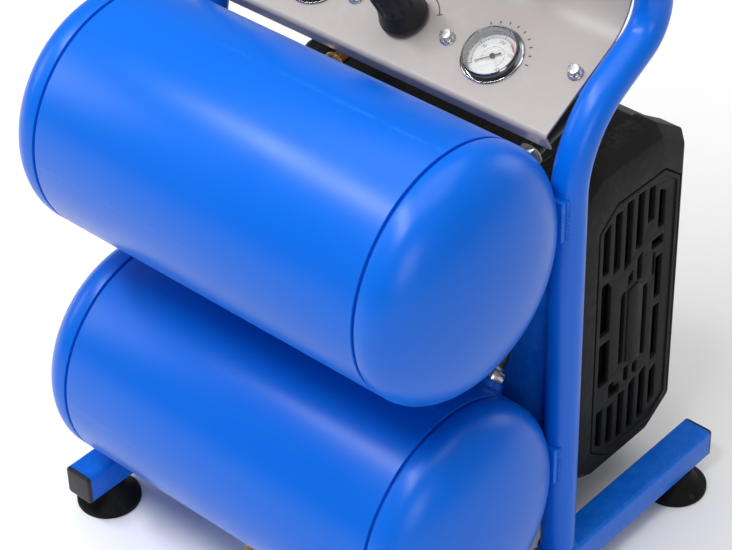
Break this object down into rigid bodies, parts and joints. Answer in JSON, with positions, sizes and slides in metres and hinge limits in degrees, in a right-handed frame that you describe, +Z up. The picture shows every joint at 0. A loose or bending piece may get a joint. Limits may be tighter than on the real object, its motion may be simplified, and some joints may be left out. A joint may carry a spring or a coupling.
{
  "type": "air compressor",
  "caption": "Portable twin-stack air compressor: two stacked blue tanks in a tube frame with a carrying bar, grey control panel and a black vented hood over the pump.",
  "frame": {"origin": "on the floor, under the centre of the whole machine's box", "axes": "+Z up, +X along the tanks towards the right-hand end as the user faces the panel, -Y towards the user, tanks at the front and pump hood at the back"},
  "size_m": [0.382, 0.367, 0.6225],
  "materials": {
    "black_hose": "black reinforced air hose",
    "black_plastic": "smooth black moulded plastic",
    "blue_paint": "semi-gloss royal blue powder coat on welded steel",
    "brass": "turned brass",
    "cast_alloy": "die-cast aluminium",
    "chrome": "bright chrome",
    "copper_pipe": "drawn copper tube",
    "dial_white": "white printed dial with black scale",
    "hood_black": "textured black moulded plastic",
    "lamination": "laminated core with varnished windings",
    "lens_clear": "clear gauge lens",
    "needle_black": "black pointer",
    "panel_grey": "warm light grey satin powder coat on sheet steel",
    "red_plastic": "red moulded plastic push-pull cap",
    "rubber": "black moulded rubber",
    "steel": "ground steel",
    "zinc": "zinc-plated steel"
  },
  "bodies": {
    "root": {"air_pipes": "black_hose", "check_valve": "brass", "control_panel": "panel_grey", "cord_gland": "black_plastic", "crankcase": "cast_alloy", "cylinder": "cast_alloy", "cylinder_head": "cast_alloy", "discharge_pipe": "copper_pipe", "drain_valve_body": "brass", "foot_bolts": "zinc", "gauge_lenses": "lens_clear", "handle_bar": "blue_paint", "handle_grip": "rubber", "hood_cover": "hood_black", "hood_left_cap": "hood_black", "hood_right_cap": "hood_black", "hood_screws": "zinc", "left_base_rail": "blue_paint", "left_coupler_body": "brass", "left_upright": "blue_paint", "lower_tank_left_head": "blue_paint", "lower_tank_right_head": "blue_paint", "lower_tank_shell": "blue_paint", "manifold": "cast_alloy", "motor_end_bells": "cast_alloy", "motor_stator": "lamination", "mount_plate": "blue_paint", "outlet_gauge_case": "chrome", "outlet_gauge_dial": "dial_white", "panel_bolts": "zinc", "pipe_fittings": "brass", "pressure_switch_body": "black_plastic", "pump_isolators": "rubber", "rail_end_caps": "black_plastic", "regulator_body": "cast_alloy", "right_base_rail": "blue_paint", "right_coupler_body": "brass", "right_upright": "blue_paint", "rubber_feet": "rubber", "safety_valve_body": "brass", "shaft_bearings": "steel", "tank_bungs": "blue_paint", "tank_gauge_case": "chrome", "tank_gauge_dial": "dial_white", "upper_tank_left_head": "blue_paint", "upper_tank_right_head": "blue_paint", "upper_tank_shell": "blue_paint"},
    "regulator_knob": {"regulator_knob": "black_plastic"},
    "tank_needle": {"tank_gauge_needle": "needle_black"},
    "outlet_needle": {"outlet_gauge_needle": "needle_black"},
    "switch_knob": {"pressure_switch_knob": "red_plastic"},
    "left_sleeve": {"left_coupler_sleeve": "steel"},
    "right_sleeve": {"right_coupler_sleeve": "steel"},
    "safety_pull": {"safety_valve_pull": "steel"},
    "drain_wing": {"drain_valve_wing": "brass"},
    "crank": {"crankshaft": "steel", "motor_rotor": "lamination", "cooling_fan": "hood_black"},
    "piston": {"piston": "cast_alloy"},
    "rod": {"connecting_rod": "cast_alloy"}
  },
  "joints": [
    {"name": "regulator_turn", "type": "hinge", "parent": "root", "child": "regulator_knob", "pos_m": [0.0033, 0.03085, 0.42017], "axis": [0, -0.4695, 0.8829], "range_deg": [-360, 360]},
    {"name": "tank_needle_turn", "type": "hinge", "parent": "root", "child": "tank_needle", "pos_m": [-0.078, 0.03155, 0.42054], "axis": [0, 0.4695, -0.8829], "range_deg": [0, 260], "stiffness_Nm_per_rad": 0.0002, "springref_deg": -57.3},
    {"name": "outlet_needle_turn", "type": "hinge", "parent": "root", "child": "outlet_needle", "pos_m": [0.078, 0.03155, 0.42054], "axis": [0, 0.4695, -0.8829], "range_deg": [0, 260], "stiffness_Nm_per_rad": 0.0002, "springref_deg": -57.3},
    {"name": "switch_pull", "type": "slide", "parent": "root", "child": "switch_knob", "axis": [0, -1, 0], "range_m": [0, 0.006]},
    {"name": "left_sleeve_slide", "type": "slide", "parent": "root", "child": "left_sleeve", "axis": [0, 1, 0], "range_m": [0, 0.006], "stiffness_N_per_m": 700, "springref_m": -0.004},
    {"name": "right_sleeve_slide", "type": "slide", "parent": "root", "child": "right_sleeve", "axis": [0, 1, 0], "range_m": [0, 0.006], "stiffness_N_per_m": 700, "springref_m": -0.004},
    {"name": "safety_pull_slide", "type": "slide", "parent": "root", "child": "safety_pull", "axis": [-1, 0, 0], "range_m": [0, 0.004], "stiffness_N_per_m": 900, "springref_m": -0.003},
    {"name": "drain_turn", "type": "hinge", "parent": "root", "child": "drain_wing", "pos_m": [0, -0.14514, 0.03988], "axis": [0, -0.4695, -0.8829], "range_deg": [0, 360]},
    {"name": "crank_spin", "type": "hinge", "parent": "root", "child": "crank", "pos_m": [0, 0.104, 0.15], "axis": [1, 0, 0], "continuous": true},
    {"name": "piston_stroke", "type": "slide", "parent": "root", "child": "piston", "axis": [0, 0, 1], "range_m": [-0.018, 0]},
    {"name": "rod_swing", "type": "hinge", "parent": "piston", "child": "rod", "pos_m": [-0.08, 0.104, 0.24], "axis": [1, 0, 0], "range_deg": [-6.4, 6.4]}
  ]
}
